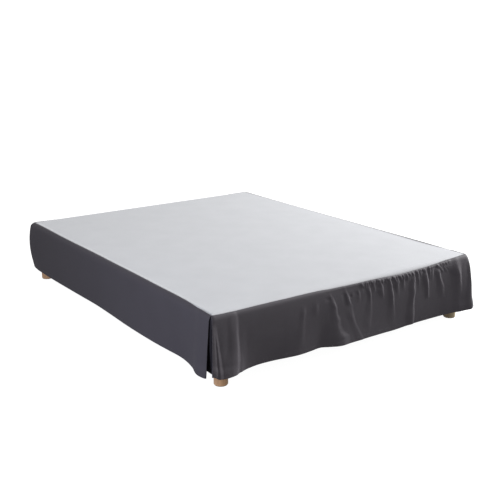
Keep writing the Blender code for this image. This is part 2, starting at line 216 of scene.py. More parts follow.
FOOT_HANG = rows_of("""
0 36 2 15 -7, 0.02 37 2 17 -3, 0.05 41 2 20.5 0, 0.09 42 1 18 0, 0.14 41 2 8.5 0.4, 0.19 40 3 -2 -1.1,
0.25 39 3 -6 -3, 0.33 40 3 -4 -1.9, 0.4 42 3 2 0, 0.47 42 2 7 1.9, 0.54 43 2 4 0.7, 0.6 46 3 0 -1.5,
0.65 54 3 6 1.1, 0.71 57 1 15 5.5, 0.79 62 1 15 5.9, 0.9 64 1 13 4.8, 1 70 2 11.5 3.3,
1.07 77 4 10.5 1.5, 1.14 79 5 9.5 -1.1, 1.21 74 5 9.5 -1.5, 1.3 68 4 13 -0.7, 1.38 57 3 20 1.5,
1.45 46 3 32 1.9, 1.52 42 4 45 0.7, 1.57 35 5 55 0, 1.604 31 6 56 0""")
LEFT_HANG = rows_of("""
0 36 0 4 0, 0.03 35 0 15 2.8, 0.07 32 0 20 4.2, 0.11 28 0 17 1.5, 0.15 21 1 9 0, 0.2 13 2 2 0,
0.26 7 2 0 0, 0.34 4 2 6 0, 0.46 5 1 12 0, 0.6 2 1 16 0, 0.76 1 2 15 0, 0.9 3 3 9 0, 1.1 1 4 5 0,
1.3 4 4 8 0, 1.5 9 3 10 0, 1.66 6 3 14 0, 1.8 1 5 16 0, 1.88 1 8 15 0, 1.94 2 13 9 0, 2 12 20 -3 0,
2.06 20 21 -3 0, 2.14 20 15 2 0""")
RIGHT_HANG = rows_of("""
0 31 2 17 0, 0.03 33 2 14 0, 0.08 31 2 9 0, 0.13 21 2 8 0, 0.18 6 2 7 0, 0.26 -4 2 10 0, 0.38 -2 3 14 0,
0.5 4 3 12 0, 0.64 9 2 8 0, 0.84 14 3 9 0, 1.05 19 4 14 0, 1.28 22 3 17 0, 1.52 22 3 12 0,
1.74 18 4 13 0, 1.88 14 8 17 0, 1.94 14 12 16 0, 2 18 18 11 0, 2.06 20 20 8 0, 2.14 20 15 7 0""")


# %% One smooth curve through a table
def curve_at(table, station):
    """The table's values at a station, on one smooth curve through its rows."""
    index = sum(row[0] <= station for row in table[1:-1])
    before, low, high, after = (table[min(max(index + step, 0), len(table) - 1)] for step in (-1, 0, 1, 2))
    wide = high[0] - low[0]
    share = min(max((station - low[0]) / wide, 0.0), 1.0)
    ease = smooth(share)
    values = []
    for column in range(1, len(low)):
        start = (high[column] - before[column]) / (high[0] - before[0]) * wide
        end = (after[column] - low[column]) / (after[0] - low[0]) * wide
        value = low[column] + (high[column] - low[column]) * ease
        values.append(value + share * (1 - share) * (start * (1 - share) - end * share))
    return values


def hang_at(table, station):
    """(arc of the seam, belly, hem swing, extra length) in metres."""
    seam, belly, hem, extra = curve_at(table, station)
    return radians(seam) * BEND, belly / 1000, hem / 1000, extra / 1000


def swing_at(belly, hem, share, arc):
    """Swing at a share of the drop. Its hem can hang inwards only below the base."""
    below = max(base_low.z - height_at(arc), 0.0) / (base_low.z - LOWEST_HEM)
    return belly * sin(pi * share) + hem * (share ** 1.5 if hem > 0 else below)


print("Seam arcs at the foot's middle and right:", [round(hang_at(FOOT_HANG, s)[0], 4) for s in (0.8, 1.55)])

# %% [markdown]
# ## The folds of the foot drop
#
# The foot drop was eased onto the flat cloth with a little too much length, so folds run down from its seam.
# Each one leans over to the right: the cloth rises gently to its crest from the left and drops away steeply
# behind it, and the steep side is what catches the light. A fold is given by points down its crest, with the
# width of its steep side and its height at each. A negative height makes a trough.

# %% Crest lines: (station, length below the seam, width of the steep side, height), all in mm
def crests(text):
    """Crest lines from text, parted by semicolons. A line that starts with # is a comment."""
    text = "\n".join(line for line in text.splitlines() if not line.startswith("#"))
    return [rows_of(crest) for crest in text.split(";")]


FOLDS = crests("""
# the rolls and the groove beside the left corner pleat
-10 10 22 1.2, -14 60 30 4, -19 120 34 7, -21 200 36 8.5, -21 280 36 8.5;
12 95 4 0, 12 125 4 -0.9, 14 180 4 -1.1, 15 230 4 -1.2, 15 280 4 -1;
10 50 12 0.6, 12 90 13 2.2, 15 130 15 3.6, 18 190 19 4.8, 19 240 23 5.2, 20 280 23 4.8;
40 150 60 0, 42 210 62 2.4, 44 280 62 3.6;
# the long fold near the left corner
115 0 9 1, 117 30 20 1.7, 116 100 19 4.2, 118 160 22 6.6, 114 220 30 9, 112 280 27 5.2;
142 185 16 0, 144 225 24 1.6, 145 280 28 2.4;
# two soft ones
493 55 11 0.3, 494 80 12 2, 489 120 11 1.1, 484 180 18 1.4, 482 240 19 0.3;
568 45 11 0.3, 568 75 13 1.7, 568 115 13 0.2;
# the big slanting fold, which widens towards the hem, and the hollow at its head
649 28 9 0.7, 660 45 12 0.9, 676 82 13 3.4, 680 100 16 2.5, 682 125 16 2.5, 694 150 21 2.9,
689 180 30 3.2, 698 210 38 3.4, 724 240 54 5.6, 726 280 58 5.2;
640 34 13 0, 642 46 13 -1.6, 648 62 13 0;
# the second slanting fold and its hollows
737 4 8 0.5, 745 25 9 0.6, 758 50 10 1.9, 766 75 9 3.3, 772 100 21 0.7, 785 150 15 2.2, 795 175 13 1.4,
808 205 16 1.3, 824 230 16 1.1, 852 280 16 1.6;
735 28 11 0, 738 40 11 -1.6, 748 85 9 -1, 752 100 9 0;
772 38 9 0, 777 50 9 -1.6, 780 64 9 0;
821 28 9 0.3, 827 45 12 1.7, 830 65 10 1.2, 831 92 11 0.2;
812 32 11 0, 815 44 11 -1.6, 818 60 11 0;
844 25 9 0.3, 853 40 9 0.6, 854 55 9 0.2;
# the gathers of the right half
881 2 8 1.3, 888 25 11 1.7, 897 50 9 3.4, 902 75 9 2.1, 903 110 13 1.9, 902 160 18 1.1, 894 205 21 1.3,
897 240 14 0.3;
889 50 9 0, 890 75 11 -1.3, 888 115 13 0;
907 2 8 1, 916 15 9 0.9, 928 32 9 1.8, 931 45 9 1.7, 929 64 9 0.2;
956 2 8 1.3, 964 20 10 3.6, 977 40 10 3.6, 977 55 15 4.1, 983 80 11 2.4, 986 100 11 0.2;
982 4 8 0.7, 982 20 9 3.6, 983 36 8 0.1;
996 2 8 1, 1004 15 9 3.6, 1013 34 9 0.2;
1022 2 9 2, 1030 18 10 4.3, 1038 40 11 4.3, 1044 70 12 4.3, 1049 100 12 4.3, 1051 125 12 3.8,
1055 160 16 1.8, 1059 200 21 1.2, 1059 240 16 0.3;
1060 40 13 0, 1063 60 14 -2, 1068 95 14 0;
1049 1 9 1.3, 1060 12 9 2.7, 1074 32 11 1.6, 1078 44 13 0.1;
1075 0 8 1, 1080 14 10 1.3, 1090 24 9 0.1;
1081 12 9 0.9, 1088 30 10 4.3, 1083 45 12 3.3, 1086 68 9 1.2, 1089 110 13 0.2;
1096 0 9 1.6, 1103 12 13 3, 1110 30 9 0.2;
1117 0 9 1.6, 1126 20 10 4.3, 1126 50 9 2.3, 1130 90 11 0.1;
1140 0 9 1.6, 1148 15 11 4.3, 1155 42 11 0.3;
1161 0 9 2, 1169 15 12 3.6, 1165 40 9 0.9, 1168 54 9 0.1;
1182 0 11 2.6, 1191 15 11 4, 1197 40 14 5.4, 1194 80 15 5.1, 1198 110 14 5.4, 1191 150 14 5.4,
1191 190 19 4.3, 1194 230 21 5.4, 1198 280 16 3.9;
1188 8 9 0, 1190 24 9 -1.6, 1192 44 9 0;
1222 12 13 0, 1222 60 13 -1.6, 1220 95 13 -0.7, 1221 130 13 0;
1221 4 9 1, 1225 30 13 4.3, 1231 60 12 1.2, 1232 90 11 0.1;
1244 0 9 1.3, 1247 25 11 3.1, 1248 44 9 0.2;
1266 0 11 2.3, 1277 12 10 1.9, 1284 38 15 5.4, 1290 68 13 6.2, 1299 110 11 3.9, 1301 145 9 3.5,
1302 168 13 0.2;
1305 0 9 1.3, 1311 20 9 2.7, 1312 58 9 0.2;
1325 2 11 1.3, 1329 30 14 3.8, 1332 80 13 0.2;
1345 2 11 1.2, 1357 15 22 1, 1378 42 15 4.1, 1384 70 11 4.3, 1394 100 14 4.3, 1404 128 19 3.6,
1408 185 16 0.3;
# slanting puckers towards the right corner
1363 0 9 0.5, 1381 15 9 2.4, 1405 42 10 2.7, 1414 56 9 0.2;
1388 0 9 0.4, 1409 18 9 1.2, 1435 50 9 1.3, 1445 62 9 0.2;
1400 0 9 0.4, 1420 18 9 0.8, 1452 44 11 0.2;
# the strong fold of the right corner, and the roll at its edge
1497 6 40 1.6, 1502 30 50 4.6, 1513 55 32 6, 1525 88 17 6.3, 1524 118 18 5.2, 1526 150 18 2.2,
1526 192 17 0.3;
1607 14 9 0.6, 1607 40 10 2.2, 1606 90 11 3, 1603 150 13 3.8, 1591 210 15 5.2, 1587 280 17 6.2""")

# %% How far a fold stands out
GENTLE = 2.6  # the gentle side of a fold is this many times as wide as its steep side
FADE = 0.012  # over this length a fold dies away past its last point
TIED = 0.004  # over this length below the seam folds grow from nothing


def fold_at(crest, station, length):
    """How far one fold stands out at a station and a length below the seam, in metres."""
    at = length * 1000
    past = max(crest[0][1] - at, at - crest[-1][1], 0.0) / 1000
    if past >= FADE:
        return 0.0
    low = high = crest[0] if at < crest[0][1] else crest[-1]
    for first, second in zip(crest, crest[1:]):
        if first[1] <= at <= second[1]:
            low, high = first, second
    share = 0.0 if low is high else (at - low[1]) / (high[1] - low[1])
    middle, width, height = (low[i] + (high[i] - low[i]) * share for i in (0, 2, 3))
    across = station * 1000 - middle
    side = across / width if across > 0 else -across / (width * GENTLE)
    return height / 1000 * (1 - smooth(past / FADE)) * (1 - smooth(side))


print(f"{len(FOLDS)} folds placed by hand")

# %% [markdown]
# ## The fine gathers
#
# Between the large folds the seam has puckers only one to four centimetres long. They are drawn with a seeded
# random generator, so that no two are alike and every run gives the same cloth.

# %% Seeded puckers, written as crest lines like the others
draw = random.Random(5)
puckers = []
station = 845
while station < 1470:
    length, lean = draw.uniform(12, 34), draw.uniform(2, 12)
    height, width = draw.uniform(1.4, 3.0), draw.uniform(6.0, 8.0)
    puckers.append((
        (station, 0, width, height * 0.4),
        (station + lean / 2, length / 2, width, height),
        (station + lean, length, width * 1.3, 0.1),
    ))
    station += draw.uniform(7, 15)
FOOT_FOLDS = FOLDS + puckers
print(f"{len(puckers)} fine puckers")


# %% [markdown]
# ## A drop, its corner fold and its hem
#
# At a foot corner a drop turns back behind itself, and the two drops' folds meet there as an inverted pleat.
# The hem is the same cloth turned up inside by 22 mm. Both turns could be separate strips, but here the drop is
# one sheet, as it is when it is sewn. Its columns run from the folded-back cloth round the fold and along the
# front, and its rows from the seam down, round the hem and up inside it.

# %% The layers at a corner pleat
RETURN_LAYER = 0.0027  # face of the folded-back cloth that looks into its fold
FOLD_GAP = 0.0006  # between the layers
HEM_ROOM = 0.0034  # more of it where two hems lie in the fold
HEM_EASE = 0.035  # over this length above the hem it grows
TURN_UP_GAP = 0.0003  # between the cloth and its turned-up hem
PLEAT_DEPTH = 0.085
STACK_RUN_OUT = 0.050  # over this length the front settles from the pleat's layers onto the base
FOLD_SHIFT_REACH = 0.060  # over this length a fold's own place carries the front with it
SIDE_FOLD = (0.0100, 0.024)  # how far a side drop's fold stands clear of the corner, at seam and hem
FOOT_FOLD = {"left": (-0.0012, -0.0160), "right": (-0.0020, 0.001)}  # the foot drop's; below 0 is past it
UNDERLAY = 0.268  # length of the cloth behind a pleat
CORNER_LIFT = {"left": 0.014, "right": 0.006}  # how far the foot drop's hem is drawn up at its ends
LIFT_REACH = 0.028  # and over what length
UNDERLAY_TUCK = 0.014  # how far the cloth behind a pleat hangs in under the base
LEAN, LEAN_OVER = 0.006, 0.035  # below its seam, the cloth leans out by about this much over this length
SLACK = (0.80, 1.00, 1.3)  # between these stations of the foot drop its lean grows this many times
ALLOWANCE = rows_of("0 0.1, 1 0.7, 3 1.1, 7 1, 11 0.5, 15 0")  # mm from the seam, mm high


def fold_gap(length):
    return FOLD_GAP + HEM_ROOM * smooth((length - (DROP - HEM - HEM_EASE)) / HEM_EASE)


def allowance_lift(length):
    """The cloth lies a little higher beside a seam, over the two seam allowances turned under it."""
    for (start, low), (end, high) in zip(ALLOWANCE, ALLOWANCE[1:]):
        if start <= length * 1000 <= end:
            return (low + (high - low) * (length * 1000 - start) / (end - start)) / 1000
    return 0.0


def lean_at(length, table, station):
    """The cloth leans out softly below the padded edge, and comes back towards its hem."""
    start, end, times = SLACK
    slack = 1 + (times - 1) * smooth((station - start) / (end - start)) if table is FOOT_HANG else 1.0
    return slack * LEAN * (1 - exp(-length / LEAN_OVER)) * (1 - length / DROP)


def shifted(station, fold, share):
    """A station near a corner fold, moved with the fold's own place."""
    shift = fold[0] + (fold[1] - fold[0]) * share
    return station + shift * max(0.0, 1 - max(station, 0.0) / FOLD_SHIFT_REACH)


def underlay_swing(share, arc):
    return swing_at(0.0, -UNDERLAY_TUCK, share, arc)


# %% A point of a drop
def drop_point(column, row, place, table, fold, folds, mirror=False, lift=0.0):
    """column: (flat place, station, turn round the corner fold, share of the pleat's depth behind it).
    row: (length below the seam, depth on the wrong side of the cloth). lift draws the hem's corner up."""
    flat, station, turn, back = column
    length, depth = row
    share = length / DROP
    lift *= 1 - smooth(station / LIFT_REACH)
    gap = fold_gap(length)
    radius = gap / 2 - depth
    if turn == pi:
        layer = (RETURN_LAYER + gap) * (1 - smooth((station - PLEAT_DEPTH) / STACK_RUN_OUT)) - depth
        layer += allowance_lift(length)
    else:
        layer = RETURN_LAYER + gap / 2 - radius * cos(turn)
        station -= radius * sin(turn)
    station = shifted(station, fold, share)
    along = max(2 * SIDE_X - station if mirror else station, 0.0)
    if table is FOOT_HANG:
        along = min(along, 2 * SIDE_X)
    seam, belly, hem, extra = hang_at(table, along)
    arc = seam + SEAM_GAP + length + (extra - lift) * share
    swing = swing_at(belly, hem, share, arc) + lean_at(length, table, along)
    swing += sum(fold_at(crest, along, length) for crest in folds) * smooth(length / TIED) * (1 - smooth(back))
    swing += (underlay_swing(share, arc) - swing) * smooth(back)
    if height_at(arc) > base_low.z:
        swing = max(swing, 0.0)
    return place(2 * SIDE_X - station if mirror else station, *reach_and_height(arc, layer, swing))


# %% Steps of length, evenly spaced
def steps(*stretches):
    """One list of values over (first, last, spacing) stretches that follow one another."""
    values = [stretches[0][0]]
    for first, last, spacing in stretches:
        count = max(1, round((last - first) / spacing))
        values += [first + (last - first) * index / count for index in range(1, count + 1)]
    return values


def drop_rows(*stretches):
    """Rows down a drop, round its hem and up inside it."""
    rows = [(length, 0.0) for length in steps(*stretches, (DROP - HEM, DROP - CLOTH, 0.0042))]
    radius = TURN_UP_GAP / 2
    turns = [pi * eighth / 4 for eighth in range(5)]
    rows += [(DROP - radius + radius * sin(turn), radius * (1 - cos(turn))) for turn in turns]
    return rows + [(length, TURN_UP_GAP) for length in (DROP - 0.004, DROP - 0.012, DROP - HEM)]


def columns_of(stations):
    """Columns of a drop: its folded-back cloth from the free edge, the fold, and then the front."""
    behind = [(-s, s, 0.0, s / PLEAT_DEPTH) for s in steps((PLEAT_DEPTH, 0.0, 0.010))]
    fold = [(0.0, 0.0, pi * share / 8, 0.0) for share in range(1, 8)]
    return behind + fold + [(s, s, pi, 0.0) for s in stations]


def cut_length(row):
    """Where a row lies in the uncut cloth, down its front and on along the turned-up hem."""
    return row[0] if row[1] < TURN_UP_GAP else 2 * DROP - row[0]


# %% A cloth from columns and rows
def mesh_of(bm):
    """The mesh that a bmesh holds. It takes its piece's name when the piece is finished."""
    mesh = bpy.data.meshes.new("shape")
    bm.to_mesh(mesh)
    bm.free()
    return mesh


def cloth_mesh(columns, rows, point, along):
    """A sheet: a bmesh grid whose vertices go to point(column, row). Its UV map, which the weave follows, is
    the uncut cloth in metres: along(column) and the row's own length."""
    bm = bmesh.new()
    across, down = len(columns) - 1, len(rows) - 1
    bmesh.ops.create_grid(bm, x_segments=across, y_segments=down, size=1.0)
    uv = bm.loops.layers.uv.new("cloth")
    for vert in bm.verts:
        column = columns[round((vert.co.x + 1) / 2 * across)]
        row = rows[round((1 - vert.co.y) / 2 * down)]
        vert.co = point(column, row)
        for loop in vert.link_loops:
            loop[uv].uv = (along(column), -cut_length(row))
    return mesh_of(bm)


# %% A piece and its finishing
SHARP = radians(50)


def new_piece(name, mesh, finish):
    """A piece that rides with the bed, with its finish and the record's material slot."""
    made = new_object(name, mesh)
    mesh.materials.append(finish)
    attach(made, "root")
    return made


def applied(made):
    """A mesh of the object with its modifiers, or its curve's bevel, applied."""
    return bpy.data.meshes.new_from_object(made.evaluated_get(bpy.context.evaluated_depsgraph_get()))


def finished(piece):
    """Applies the piece's modifiers, then shades it smooth except over its sharp edges."""
    old, piece.data = piece.data, applied(piece)
    piece.modifiers.clear()
    bpy.data.meshes.remove(old)
    piece.data.name = piece.name
    piece.data.shade_smooth()
    piece.data.set_sharp_from_angle(angle=SHARP)
    print(f"{piece.name}: {sum(len(polygon.vertices) - 2 for polygon in piece.data.polygons)} triangles")
    return piece


def thickened(piece, thickness=CLOTH):
    """Gives a sheet its thickness on its outer side."""
    solidify = piece.modifiers.new("thickness", "SOLIDIFY")
    solidify.thickness = thickness
    solidify.offset = 1.0
    return finished(piece)


# %% [markdown]
# ## Colours and nodes
#
# Finishes are mixed from sRGB hex values, as a maker would name a colour, and turned to the linear values that
# the renderer needs. One small function adds a node with its settings and links.

# %% Colour and node helpers
WHITE = (1.0, 1.0, 1.0, 1.0)


def linear(code):
    """The linear RGBA of an sRGB hex colour such as "#3c3a3d"."""
    parts = [int(code[i:i + 2], 16) / 255 for i in (1, 3, 5)]
    return (*[p / 12.92 if p <= 0.04045 else ((p + 0.055) / 1.055) ** 2.4 for p in parts], 1.0)


def wire(node, settings=None, links=None):
    """Sets a node's properties and its sockets' values, and links its sockets to their sources. A source is an
    output, or a node, which stands for the first output that it has in use."""
    for name, value in (settings or {}).items():
        if isinstance(name, str) and hasattr(node, name):
            setattr(node, name, value)
        else:
            node.inputs[name].default_value = value
    for socket, source in (links or {}).items():
        if isinstance(source, bpy.types.Node):
            source = next(output for output in source.outputs if output.enabled)
        node.id_data.links.new(source, node.inputs[socket])
    return node


def add(tree, kind, settings=None, links=None):
    """Adds a shader node of this kind to a tree, with its settings and its links."""
    return wire(tree.nodes.new("ShaderNode" + kind), settings, links)


def new_finish(name):
    """A material with its node tree and its Principled BSDF."""
    made = bpy.data.materials.new(name)
    made.use_nodes = True
    return made, made.node_tree, made.node_tree.nodes["Principled BSDF"]


# %% [markdown]
# ## Woven cloth
#
# Both cloths are plain-woven polyester microfibre: each thread goes over one and under the next, and the short
# fibres on the surface catch light at a shallow angle, which is the sheen along folds and edges. The real
# threads are about 0.3 mm apart, far less than a pixel, so they are drawn 1.6 mm apart. Slow changes of tone
# over a hand's breadth stand for uneven dye and handling.

# %% The woven finish
def woven(name, dark, light, spacing_mm, sheen, gloss, roughness):
    """Plain-woven cloth: threads that go over and under, fine fibres on them, and slow changes of tone."""
    finish, tree, shader = new_finish(name)
    cloth = add(tree, "UVMap", {"uv_map": "cloth"})
    threads = add(tree, "VectorMath", {"operation": "SCALE", "Scale": 1000 / spacing_mm}, {0: cloth})
    lifted = add(tree, "VectorMath", {"operation": "ADD", 1: (0.0, 0.0, 0.5)}, {0: threads})
    over = add(tree, "TexChecker", {"Scale": 1.0}, {"Vector": lifted})
    axes = add(tree, "SeparateXYZ", {}, {0: threads})
    backs = []
    for axis in (0, 1):
        turn = add(tree, "Math", {"operation": "MULTIPLY", 1: pi}, {0: axes.outputs[axis]})
        wave = add(tree, "Math", {"operation": "SINE"}, {0: turn})
        backs.append(add(tree, "Math", {"operation": "ABSOLUTE"}, {0: wave}))
    height = add(tree, "Mix", {"data_type": "FLOAT"},
                 {"Factor": over.outputs["Fac"], "A": backs[0], "B": backs[1]})
    fibres = add(tree, "TexNoise", {"Scale": 900.0, "Detail": 3.0}, {"Vector": cloth})
    surface = add(tree, "Math", {"operation": "MULTIPLY_ADD", 1: 0.6}, {0: height, 2: fibres})
    bump = add(tree, "Bump", {"Strength": 0.35, "Distance": 0.0002}, {"Height": surface})

    handled = add(tree, "TexNoise", {"Scale": 7.0, "Detail": 4.0, "Roughness": 0.55}, {"Vector": cloth})
    mottle = add(tree, "MapRange", {"From Min": 0.3, "From Max": 0.7, "To Min": 0.3, "To Max": 0.7},
                 {"Value": handled})
    tone = add(tree, "Math", {"operation": "MULTIPLY_ADD", 1: 0.35}, {0: height, 2: mottle})
    colour = add(tree, "Mix", {"data_type": "RGBA", "A": linear(dark), "B": linear(light)}, {"Factor": tone})
    rough = add(tree, "MapRange", {"To Min": roughness - 0.06, "To Max": roughness + 0.06}, {"Value": handled})
    wire(shader, {"Specular IOR Level": gloss, "Sheen Weight": sheen, "Sheen Roughness": 0.4},
         {"Base Color": colour, "Roughness": rough, "Normal": bump})
    return finish


# %% The cloths' colours
anthracite_microfibre = woven("anthracite_microfibre", "#39353b", "#413d43", 1.6, 0.03, 0.35, 0.70)
# The pleat backs' cloth is darker and duller than the drops' own: painted shade inside the pleats.
painted_shade_microfibre = woven("painted_shade_microfibre", "#1d1b20", "#232126", 1.6, 0.0, 0.15, 0.85)
pale_grey_microfibre = woven("pale_grey_microfibre", "#abacaf", "#b5b6b9", 1.6, 0.03, 0.12, 0.85)

# %% [markdown]
# ## The foot drop
#
# This is the cloth that shows most. Its columns lie two millimetres apart where it is gathered and wider apart
# where it is smooth, which keeps the crests crisp and the mesh small.

# %% The foot drop
left_front = steps((0.0, 0.060, 0.0015), (0.060, 0.160, 0.0028), (0.160, 0.620, 0.0065),
                   (0.620, SIDE_X, 0.0021))
right_front = steps((0.0, 0.030, 0.0018), (0.030, 0.150, 0.0026), (0.150, SIDE_X, 0.0021))
left_half = [(*column, False) for column in columns_of(left_front)]
right_half = [(*column, True) for column in columns_of(right_front[:-1])]
foot_columns = left_half + right_half[::-1]
seam_rows = (0.0, 0.004, 0.001), (0.004, 0.028, 0.003)
foot_rows = drop_rows(*seam_rows, (0.028, 0.120, 0.0042), (0.120, DROP - HEM, 0.006))


def foot_point(column, row):
    corner = "right" if column[4] else "left"
    return drop_point(column[:4], row, foot_place, FOOT_HANG, FOOT_FOLD[corner], FOOT_FOLDS, mirror=column[4],
                      lift=CORNER_LIFT[corner])


def foot_along(column):
    return 2 * SIDE_X - column[0] if column[4] else column[0]


shape = cloth_mesh(foot_columns, foot_rows, foot_point, foot_along)
foot_drop = thickened(new_piece("foot_drop_cloth", shape, anthracite_microfibre))
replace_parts(foot_drop, "drop_foot")

# %% [markdown]
# ## The side drops
#
# The left drop hangs smooth: only its edge beside the pleat curls, and it bulges where it turns the head
# corner. The right drop is its pair, with soft folds of its own. Both end a hand's breadth round that corner.

# %% Their folds, written as crest lines
HEAD_BULGE = crests("1905 30 51 0.3, 1915 90 57 1.6, 1900 200 61 0.3")
LEFT_FOLDS = crests("30 95 11 0.2, 27 130 13 1.6, 28 190 13 1.6, 30 240 14 0.5") + HEAD_BULGE
RIGHT_FOLDS = crests("""
34 60 13 0.3, 36 150 16 2, 40 280 22 2.6;
420 20 19 0.3, 424 110 27 2.3, 430 280 41 3.2;
985 30 22 0.3, 990 140 32 2, 996 280 45 3.2;
1460 10 19 0.3, 1462 90 25 2, 1470 220 35 0.7""") + HEAD_BULGE
SIDES = (("left", left_place, LEFT_HANG, LEFT_FOLDS), ("right", right_place, RIGHT_HANG, RIGHT_FOLDS))

# %% The side drops
HEAD_CORNER = TURN_START + HEAD_TURN
SIDE_END = HEAD_CORNER + HEAD_RETURN
side_front = steps((0.0, 0.060, 0.002), (0.060, 0.200, 0.006), (0.200, TURN_START - 0.020, 0.014),
                   (TURN_START - 0.020, HEAD_CORNER, 0.0022), (HEAD_CORNER, SIDE_END, 0.008))
side_columns = columns_of(side_front)
side_rows = drop_rows(*seam_rows, (0.028, DROP - HEM, 0.008))
side_drops = {}
for name, place, table, folds in SIDES:
    shape = cloth_mesh(
        side_columns[::-1] if name == "left" else side_columns, side_rows,
        lambda column, row: drop_point(column, row, place, table, SIDE_FOLD, folds),
        lambda column: column[0],
    )
    side_drops[name] = thickened(new_piece(f"{name}_drop_cloth", shape, anthracite_microfibre))
    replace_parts(side_drops[name], f"drop_{name}")

# %% [markdown]
# ## The cloth behind each pleat
#
# An inverted pleat opens on a strip of cloth sewn into the same seam behind it, which hangs straight down the
# corner and tucks in under the base. In the bed it is the drops' own cloth, but here its cloth is darker and
# duller, which is painted shade, so that the pleat looks black inside.

# %% The pleat backs
UNDERLAY_REACH = 0.075  # each way from the corner
for name, place, table, _ in SIDES:
    def back_point(column, row):
        """Stations are negative along the side of the bed and positive along its foot."""
        length, depth = row
        along = column if name == "left" else 2 * SIDE_X - column
        seam = hang_at(table, -column)[0] if column < 0 else hang_at(FOOT_HANG, along)[0]
        arc = seam + SEAM_GAP + length * UNDERLAY / DROP
        reach, height = reach_and_height(arc, -depth, underlay_swing(length / DROP, arc))
        return place(-column, reach, height) if column < 0 else foot_place(along, reach, height)

    columns = steps((-UNDERLAY_REACH, UNDERLAY_REACH, 0.005))[::1 if name == "left" else -1]
    shape = cloth_mesh(columns, side_rows, back_point, lambda column: column)
    back = thickened(new_piece(f"{name}_pleat_back_cloth", shape, painted_shade_microfibre))
    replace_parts(back, f"pleat_back_{name}")

# %% [markdown]
# ## The platform cloth
#
# The pale cloth lies flat on the base and turns over its edge as far as the seams. A grid wouldn't follow the
# round corners, so the mesh starts as a filled circle in the middle and grows outwards in rings, each extruded
# from the last, until the outermost lies on the seam. It rises and falls by less than a millimetre.

# %% The outline of the platform cloth
def outline():
    """(place, table, station) all round, from the left foot corner and back to it."""
    foot = steps((0.0, 0.15, 0.006), (0.15, 2 * SIDE_X - 0.15, 0.008), (2 * SIDE_X - 0.15, 2 * SIDE_X, 0.006))
    middle_of_head = SIDE_END - HEAD_RETURN + LEAVE_X - HEAD_TURN_RADIUS
    side = steps((0.0, 0.20, 0.008), (0.20, TURN_START, 0.02), (TURN_START, HEAD_CORNER, 0.002),
                 (HEAD_CORNER, middle_of_head, 0.02))
    return ([(foot_place, FOOT_HANG, s) for s in foot] + [(right_place, RIGHT_HANG, s) for s in side[1:]]
            + [(left_place, LEFT_HANG, s) for s in side[-2:0:-1]])


FLAT_EDGE = 0.010  # the flat part ends this far inside the line where the cloth leaves the top
RISE = 0.0007  # the most that the cloth rises off the base


def rise_at(place):
    """How far the cloth rises off the base at a place on the flat part."""
    slow = noise.noise(Vector((place.x * 2.3, place.y * 1.7, 4.0)))
    quick = noise.noise(Vector((place.x * 9.0, place.y * 7.0, 9.0)))
    return RISE * (0.5 + 0.4 * slow + 0.1 * quick)


def ring_point(spot, share):
    """A point of the platform cloth. share is -1 in its middle, 0 where its flat part ends, 1 at the seam."""
    place, table, station = spot
    end = hang_at(table, station)[0] - SEAM_GAP
    if share <= 0:
        edge = place(station, -FLAT_EDGE, CLOTH_TOP)
        point = Vector((edge.x * (1 + share), edge.y * (1 + share), CLOTH_TOP))
        point.z += rise_at(point) * smooth(-share * 12)
        return point, (point.x, point.y)
    arc = -FLAT_EDGE + (end + FLAT_EDGE) * share
    lift = allowance_lift(end - arc) * 0.5
    flat = place(station, arc, 0.0)
    return place(station, *reach_and_height(arc, lift, 0.0)), (flat.x, flat.y)


# %% The platform cloth
def next_ring(bm, ring, edges):
    """Extrudes a ring of edges. Returns the new vertices, in the old ones' order, and the new edges."""
    grown = bmesh.ops.extrude_edge_only(bm, edges=edges)["geom"]
    fresh = {item for item in grown if isinstance(item, bmesh.types.BMVert)}
    edges = [item for item in grown if isinstance(item, bmesh.types.BMEdge) and set(item.verts) <= fresh]
    return [next(e.other_vert(v) for e in v.link_edges if e.other_vert(v) in fresh) for v in ring], edges


spots = outline()
shares = [-0.97] + steps((-0.94, -0.04, 0.05)) + steps((-0.03, 0.0, 0.015), (0.0, 0.5, 0.17), (0.5, 1.0, 0.07))
bm = bmesh.new()
ring = bmesh.ops.create_circle(bm, cap_ends=True, segments=len(spots), radius=1.0)["verts"]
edges = list(bm.edges)
flat_place = {}
for share in shares:
    if share != shares[0]:
        ring, edges = next_ring(bm, ring, edges)
    for vert, spot in zip(ring, spots):
        vert.co, flat_place[vert] = ring_point(spot, share)
bmesh.ops.recalc_face_normals(bm, faces=bm.faces)
if sum(face.normal.z for face in bm.faces) < 0:
    bmesh.ops.reverse_faces(bm, faces=bm.faces)
uv = bm.loops.layers.uv.new("cloth")
for vert, flat in flat_place.items():
    for loop in vert.link_loops:
        loop[uv].uv = flat
platform = thickened(new_piece("platform_cloth", mesh_of(bm), pale_grey_microfibre))
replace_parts(platform, "platform_panel")

# %% [markdown]
# ## Hem stitches
#
# The hem is held by a line of lockstitch 19 mm above the fold. Real stitches are about 3 mm long. Here they are
# 4.5 mm long and 6 mm apart, so that a close view still shows them. Each one is a small flattened sphere laid
# along the cloth, and all of a drop's stitches are one mesh.

# %% Thread, and other finishes that are speckled all through
def speckled(name, dark, light, pattern, settings, looks):
    """Two tones mixed by a fine pattern, for fibres that lie every way."""
    finish, tree, shader = new_finish(name)
    here = add(tree, "TexCoord").outputs["Object"]
    fibres = add(tree, pattern, settings, {"Vector": here})
    tone = add(tree, "Mix", {"data_type": "RGBA", "A": linear(dark), "B": linear(light)}, {"Factor": fibres})
    wire(shader, looks, {"Base Color": tone})
    return finish


sewing_thread = speckled("black_polyester_thread", "#2b292d", "#3f3d42", "TexNoise",
                         {"Scale": 1200.0, "Detail": 1.0}, {"Roughness": 0.55, "Sheen Weight": 0.2})

# %% Stitches along the hems
STITCH_LINE = DROP - 0.019
STITCH_PITCH = 0.006
STITCH = (0.00225, 0.0004, 0.0003)  # half length, half width, half height
STITCHES_START = 0.004  # from either end of a drop's front
OUTSIDE = -(CLOTH + 0.0001)  # depth of the cloth's outer face


